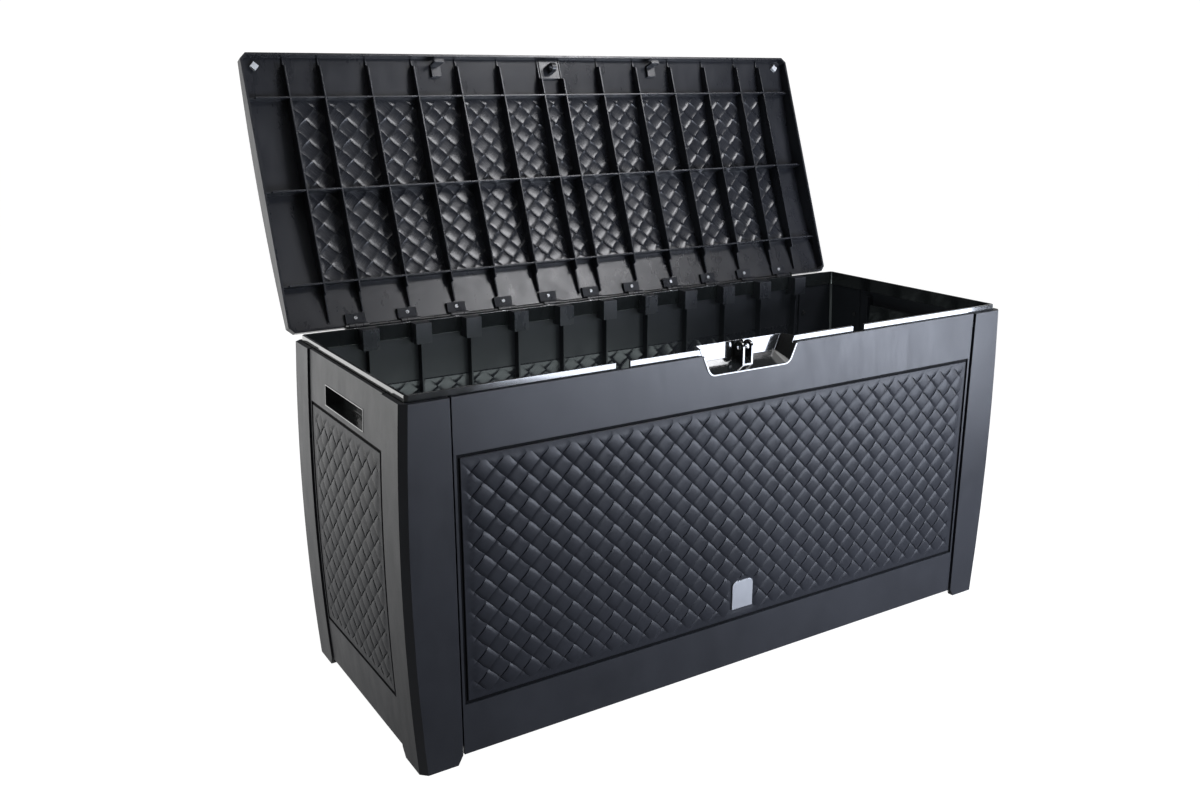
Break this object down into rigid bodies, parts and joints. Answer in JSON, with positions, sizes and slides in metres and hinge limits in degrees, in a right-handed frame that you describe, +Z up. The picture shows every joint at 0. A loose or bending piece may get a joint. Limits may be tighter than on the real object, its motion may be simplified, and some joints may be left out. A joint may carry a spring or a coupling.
{
  "type": "deck storage box",
  "caption": "Long outdoor storage box with woven-look resin panels, chamfered corner posts, a padlock recess and a crowned ribbed lid hinged along the rear edge.",
  "frame": {"origin": "middle of the footprint, on the bottom of the middle foot at ground level", "axes": "+X along the length to the right seen from the front, +Y from front to rear, +Z up"},
  "size_m": [1.2004, 0.6499, 1.0143],
  "materials": {
    "anthracite_resin": "matte moulded polypropylene, fine grain",
    "glossy_resin": "smooth black polypropylene",
    "floor_resin": "matte moulded polypropylene",
    "badge_silver": "satin silver",
    "pad_grey": "light grey soft pad",
    "black_steel": "black zinc plated steel",
    "zinc_steel": "zinc plated"
  },
  "bodies": {
    "box_body": {"front_wall": "anthracite_resin", "rear_wall": "anthracite_resin", "left_wall": "anthracite_resin", "right_wall": "anthracite_resin", "rim_frame": "glossy_resin", "latch_scoop": "glossy_resin", "padlock_staple": "glossy_resin", "badge_plate": "badge_silver", "handle_cup_left": "glossy_resin", "handle_cup_right": "glossy_resin", "floor_left": "floor_resin", "floor_right": "floor_resin", "floor_beam": "floor_resin", "floor_rails": "floor_resin", "hinge_bearings": "glossy_resin", "hinge_backing_blocks": "glossy_resin", "panel_screws": "black_steel", "hinge_screws": "black_steel", "corner_post_front_left": "anthracite_resin", "corner_post_front_right": "anthracite_resin", "corner_post_rear_left": "anthracite_resin", "corner_post_rear_right": "anthracite_resin"},
    "lid": {"lid_shell": "anthracite_resin", "lid_ribs": "anthracite_resin", "lid_cross_ribs": "anthracite_resin", "lid_knuckles": "glossy_resin", "knuckle_screws": "zinc_steel", "catch_hook_left": "glossy_resin", "catch_hook_right": "glossy_resin", "latch_tongue": "glossy_resin", "lid_pad_left": "pad_grey", "lid_pad_right": "pad_grey", "hinge_rod": "black_steel", "rod_caps": "glossy_resin"}
  },
  "joints": [
    {"name": "lid_hinge", "type": "hinge", "parent": "box_body", "child": "lid", "pos_m": [0, 0.2487, 0.5662], "axis": [1, 0, 0], "range_deg": [0, 110]}
  ]
}
